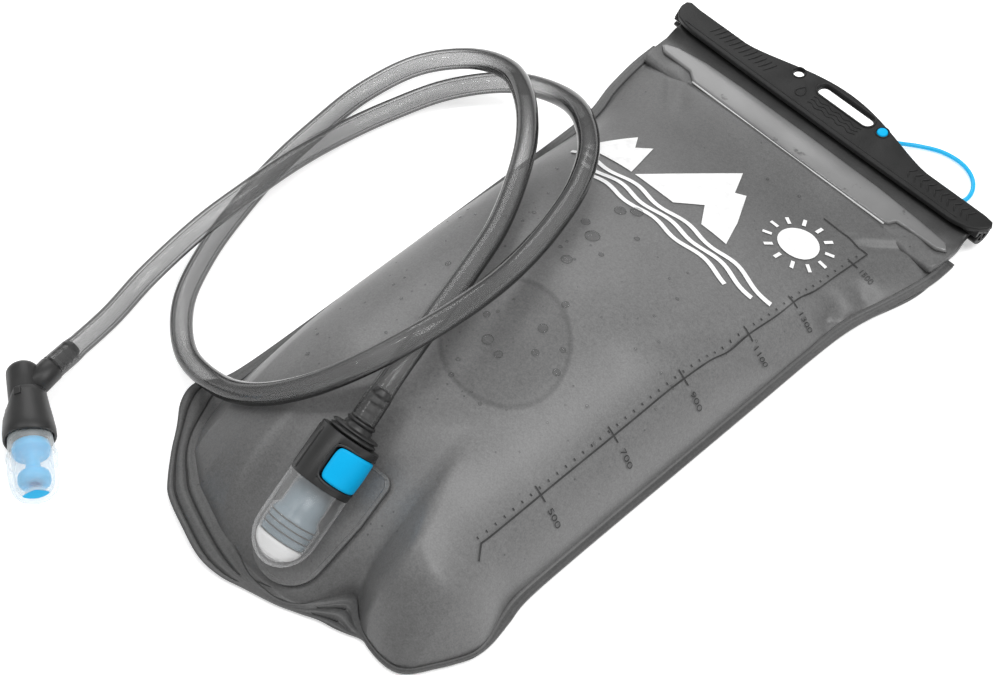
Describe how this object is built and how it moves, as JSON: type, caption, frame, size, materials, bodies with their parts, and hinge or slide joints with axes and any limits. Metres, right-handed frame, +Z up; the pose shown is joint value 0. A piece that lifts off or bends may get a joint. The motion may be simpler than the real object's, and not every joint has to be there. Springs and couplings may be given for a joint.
{
  "type": "hydration bladder",
  "caption": "Soft film water reservoir with a slide-bar closure, a quick-release drink port, a looped drink tube and a twist-lock bite valve.",
  "frame": {"origin": "on the bag's flat underside, in the middle of its width", "axes": "+X along the slide bar towards the tethered corner, +Y from the port end towards the closure, +Z up from the surface that it lies on"},
  "size_m": [0.2482, 0.4022, 0.0745],
  "materials": {
    "bag_film": "satin",
    "weld": "satin",
    "pale_plastic": "satin",
    "clear_plastic": "gloss",
    "spring_steel": "satin",
    "black_plastic": "satin",
    "blue_plastic": "satin",
    "seal_rubber": "matte",
    "smoke_tube": "gloss",
    "frosted_silicone": "satin",
    "blue_cord": "satin"
  },
  "bodies": {
    "bag": {"back_film": "bag_film", "front_film": "bag_film", "bottom_seam": "weld", "side_seams": "weld", "rolled_lip": "weld", "lip_rod": "pale_plastic", "seal_strip": "pale_plastic", "tether_anchor": "weld", "port_plate": "weld", "port_body": "clear_plastic", "valve_seat": "pale_plastic", "valve_spring": "spring_steel", "latch_housing": "black_plastic", "button_spring": "spring_steel"},
    "slide_bar": {"slide_bar": "black_plastic", "tether_plug": "blue_plastic", "tether_cord": "blue_cord"},
    "release_button": {"release_button": "blue_plastic", "latch_slide": "black_plastic"},
    "poppet": {"valve_poppet": "pale_plastic"},
    "drink_tube": {"tube_plug": "black_plastic", "plug_o_rings": "seal_rubber", "hose": "smoke_tube", "valve_elbow": "black_plastic", "elbow_o_ring": "seal_rubber", "valve_core": "blue_plastic"},
    "bite_lock": {"lock_collar": "black_plastic", "bite_sheath": "frosted_silicone"}
  },
  "joints": [
    {"name": "bar_slide", "type": "slide", "parent": "bag", "child": "slide_bar", "axis": [1, 0, 0], "range_m": [0, 0.18], "deforming": ["tether_cord"]},
    {"name": "button_press", "type": "slide", "parent": "bag", "child": "release_button", "axis": [-0.0436, 0.4981, -0.866], "range_m": [0, 0.0018], "stiffness_N_per_m": 800, "deforming": ["button_spring"]},
    {"name": "tube_pull", "type": "slide", "parent": "bag", "child": "drink_tube", "axis": [-0.0755, 0.8627, 0.5], "range_m": [0, 0.025], "deforming": ["hose"]},
    {"name": "poppet_close", "type": "slide", "parent": "bag", "child": "poppet", "axis": [-0.0755, 0.8627, 0.5], "range_m": [0, 0.003], "deforming": ["valve_spring"]},
    {"name": "collar_twist", "type": "hinge", "parent": "drink_tube", "child": "bite_lock", "pos_m": [-0.138, -0.1406, 0.011], "axis": [0.849, -0.5284, 0], "range_deg": [0, 90]}
  ],
  "couplings": [
    {"joint": "poppet_close", "follows": "tube_pull", "ratio": 0.12}
  ]
}
